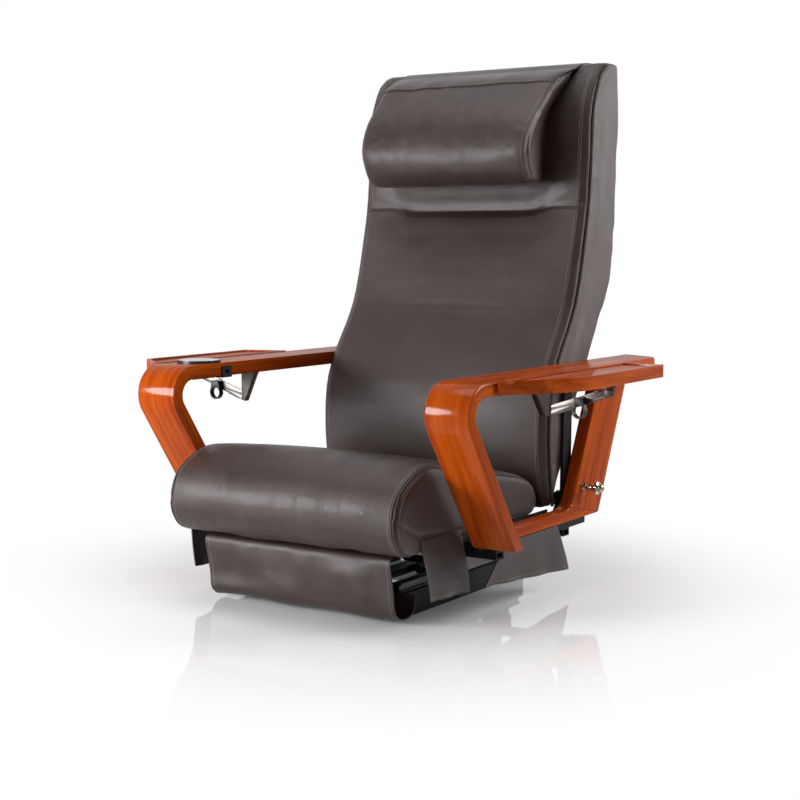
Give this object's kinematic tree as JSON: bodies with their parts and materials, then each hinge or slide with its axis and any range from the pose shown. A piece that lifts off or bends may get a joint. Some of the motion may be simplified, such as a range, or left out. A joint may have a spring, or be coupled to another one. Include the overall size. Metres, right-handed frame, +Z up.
{
  "type": "air massage chair",
  "caption": "Pedicure-station massage chair top: sliding powered carriage, cushioned seat, reclining back with head pillow, bentwood armrests and fold-down side trays.",
  "frame": {"origin": "centre of the four floor bolts, on the plane that the base stands on", "axes": "+Z up, the sitter faces -Y, +X to the sitter's left"},
  "size_m": [0.95, 0.8622, 1.0634],
  "materials": {
    "black_steel": "black powder-coated steel",
    "bright_steel": "zinc-plated and bright steel",
    "grey_steel": "satin nickel-plated steel strip",
    "black_plastic": "black moulded plastic",
    "grey_plastic": "light grey moulded plastic",
    "hose": "black air hose",
    "air_bag": "welded air cell",
    "plywood": "birch plywood",
    "bent_wood": "glossy stained and lacquered bent laminated wood, warm orange brown",
    "knob_metal": "polished nickel",
    "charger": "silver top on a black rim",
    "leather": "dark taupe-brown upholstery leather, soft sheen",
    "side_leather": "wrinkled taupe-brown leather of the sides and rear",
    "skirt_leather": "dark brown leather of the apron and flaps"
  },
  "bodies": {
    "base": {"base_frame": "black_steel", "slide_rails": "bright_steel", "slide_actuator": "black_plastic"},
    "carriage": {"slide_rod": "bright_steel", "slide_runners": "black_plastic", "carriage_frame": "black_steel", "equipment_cradle": "grey_steel", "air_pump": "black_plastic", "valve_block": "grey_plastic", "control_box": "grey_plastic", "air_hoses": "hose", "seat_bearers": "bright_steel", "seat_pan": "plywood", "seat_airbags": "air_bag", "seat_cushion": "leather", "front_apron": "skirt_leather", "front_flap_left": "skirt_leather", "front_flap_right": "skirt_leather", "rear_flap_left": "skirt_leather", "rear_flap_right": "skirt_leather", "arm_bars": "black_steel", "armrest_left": "bent_wood", "armrest_right": "bent_wood", "side_rail_left": "bent_wood", "side_rail_right": "bent_wood", "arm_upright_left": "bent_wood", "arm_upright_right": "bent_wood", "purse_hook_left": "knob_metal", "purse_hook_right": "knob_metal", "arm_screws": "bright_steel", "hinge_brackets": "black_steel", "recline_actuator": "black_plastic", "charger_pad": "charger", "usb_socket": "black_plastic", "tray_hinge_left": "grey_steel", "tray_hinge_right": "grey_steel", "brace_gusset_left": "grey_steel", "brace_gusset_right": "grey_steel"},
    "recline_rod": {"recline_rod": "bright_steel"},
    "backrest": {"recline_yoke": "black_steel", "pivot_collars": "bright_steel", "back_frame": "black_steel", "back_board": "plywood", "back_airbags": "air_bag", "back_cushion": "leather", "back_cover": "side_leather", "head_pillow": "leather", "pillow_flap": "leather"},
    "left_tray": {"tray_left": "bent_wood", "tray_leaf_left": "grey_steel"},
    "right_tray": {"tray_right": "bent_wood", "tray_leaf_right": "grey_steel"},
    "left_lower_link": {"lower_link_left": "grey_steel", "release_loop_left": "grey_steel"},
    "right_lower_link": {"lower_link_right": "grey_steel", "release_loop_right": "grey_steel"},
    "left_upper_link": {"upper_link_left": "grey_steel"},
    "right_upper_link": {"upper_link_right": "grey_steel"}
  },
  "joints": [
    {"name": "carriage_slide", "type": "slide", "parent": "base", "child": "carriage", "axis": [0, -1, 0], "range_m": [0, 0.13]},
    {"name": "back_recline", "type": "hinge", "parent": "carriage", "child": "backrest", "pos_m": [0, 0.222, 0.168], "axis": [-1, 0, 0], "range_deg": [0, 28]},
    {"name": "recline_rod_slide", "type": "slide", "parent": "carriage", "child": "recline_rod", "axis": [0, -1, 0], "range_m": [0, 0.0388]},
    {"name": "tray_fold_left", "type": "hinge", "parent": "carriage", "child": "left_tray", "pos_m": [0.381, 0.0145, 0.4185], "axis": [0, 1, 0], "range_deg": [0, 90]},
    {"name": "lower_link_left", "type": "hinge", "parent": "carriage", "child": "left_lower_link", "pos_m": [0.331, 0.047, 0.366], "axis": [0, 1, 0], "range_deg": [0, 95.9]},
    {"name": "upper_link_left", "type": "hinge", "parent": "left_tray", "child": "left_upper_link", "pos_m": [0.456, 0.047, 0.408], "axis": [0, -1, 0], "range_deg": [0, 137.5]},
    {"name": "tray_fold_right", "type": "hinge", "parent": "carriage", "child": "right_tray", "pos_m": [-0.381, -0.0835, 0.4185], "axis": [0, -1, 0], "range_deg": [0, 90]},
    {"name": "lower_link_right", "type": "hinge", "parent": "carriage", "child": "right_lower_link", "pos_m": [-0.331, -0.051, 0.366], "axis": [0, -1, 0], "range_deg": [0, 95.9]},
    {"name": "upper_link_right", "type": "hinge", "parent": "right_tray", "child": "right_upper_link", "pos_m": [-0.456, -0.051, 0.408], "axis": [0, 1, 0], "range_deg": [0, 137.5]}
  ],
  "couplings": [
    {"joint": "recline_rod_slide", "follows": "back_recline", "m_per_rad": 0.079206},
    {"joint": "lower_link_left", "follows": "tray_fold_left", "ratio": 1.0649},
    {"joint": "upper_link_left", "follows": "tray_fold_left", "ratio": 1.5274},
    {"joint": "lower_link_right", "follows": "tray_fold_right", "ratio": 1.0649},
    {"joint": "upper_link_right", "follows": "tray_fold_right", "ratio": 1.5274}
  ]
}
